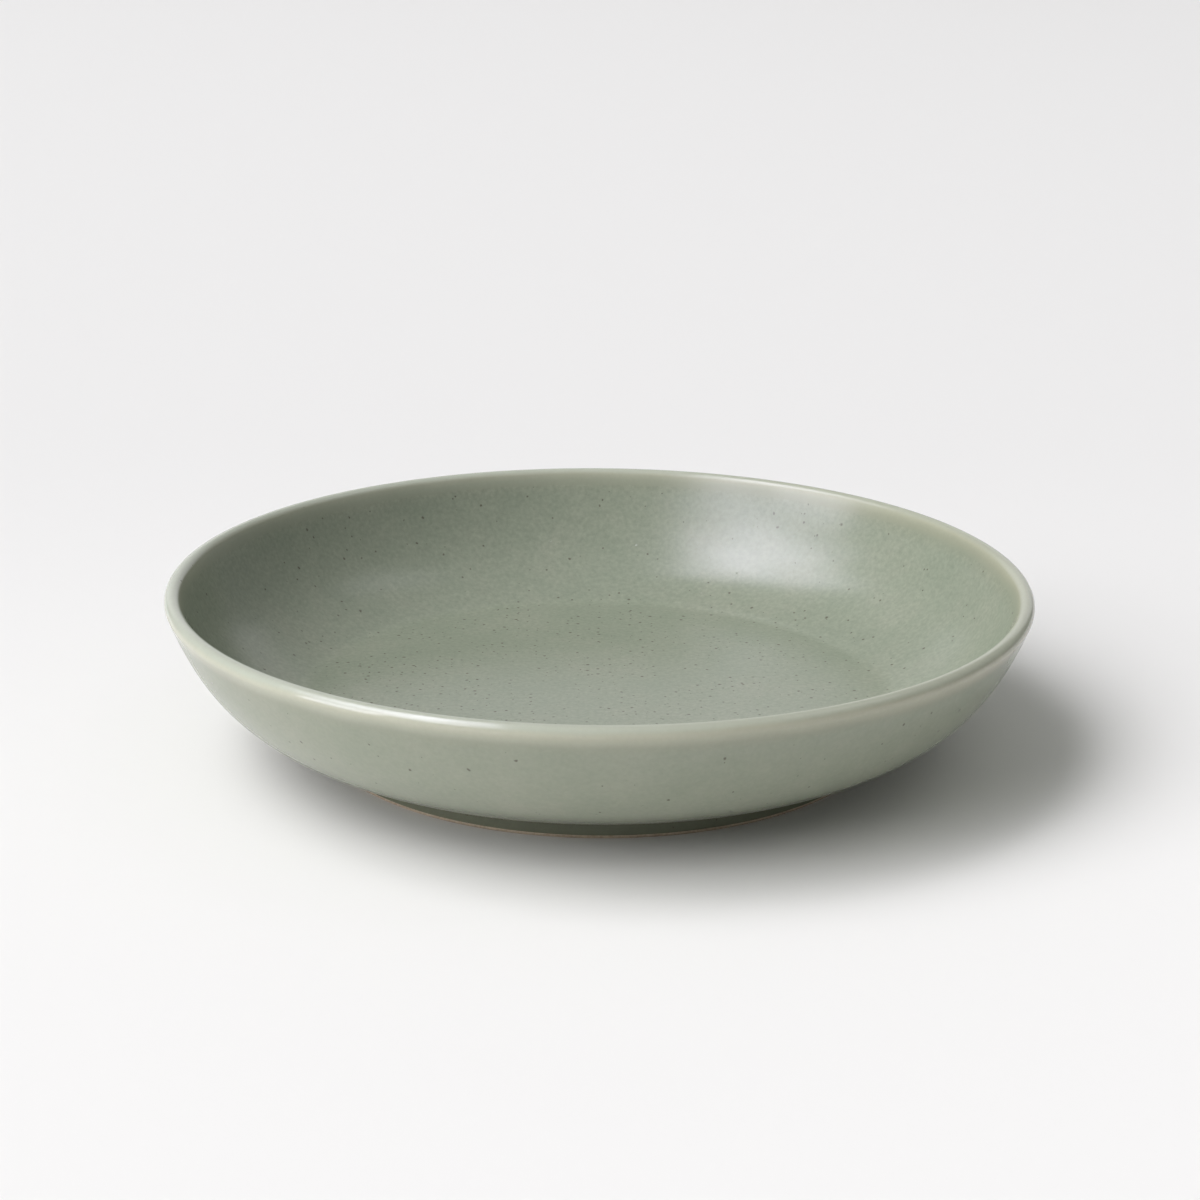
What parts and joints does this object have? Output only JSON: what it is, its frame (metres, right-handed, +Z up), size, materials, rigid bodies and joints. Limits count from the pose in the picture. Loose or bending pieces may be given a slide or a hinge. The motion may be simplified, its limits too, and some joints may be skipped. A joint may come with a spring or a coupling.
{
  "type": "coupe soup bowl",
  "caption": "Low, wide stoneware bowl with a rounded lip, one sweeping wall and a turned foot ring, glazed all over but for the foot's bare edge. Holds soup, pasta or salad.",
  "frame": {"origin": "centre of the foot ring, on the surface that the bowl stands on", "axes": "+Z up along the axis of the bowl; the bowl is round, so +X and +Y are any two square directions"},
  "size_m": [0.23, 0.23, 0.044],
  "materials": {
    "bare_stoneware": "unglazed, fine grit",
    "sage_glaze": "satin",
    "thin_glaze": "satin, thin over the clay"
  },
  "bodies": {
    "root": {"stoneware_body": "bare_stoneware", "inside_glaze": "sage_glaze", "lip_glaze": "thin_glaze", "outside_glaze": "sage_glaze", "base_glaze": "sage_glaze"}
  },
  "joints": []
}
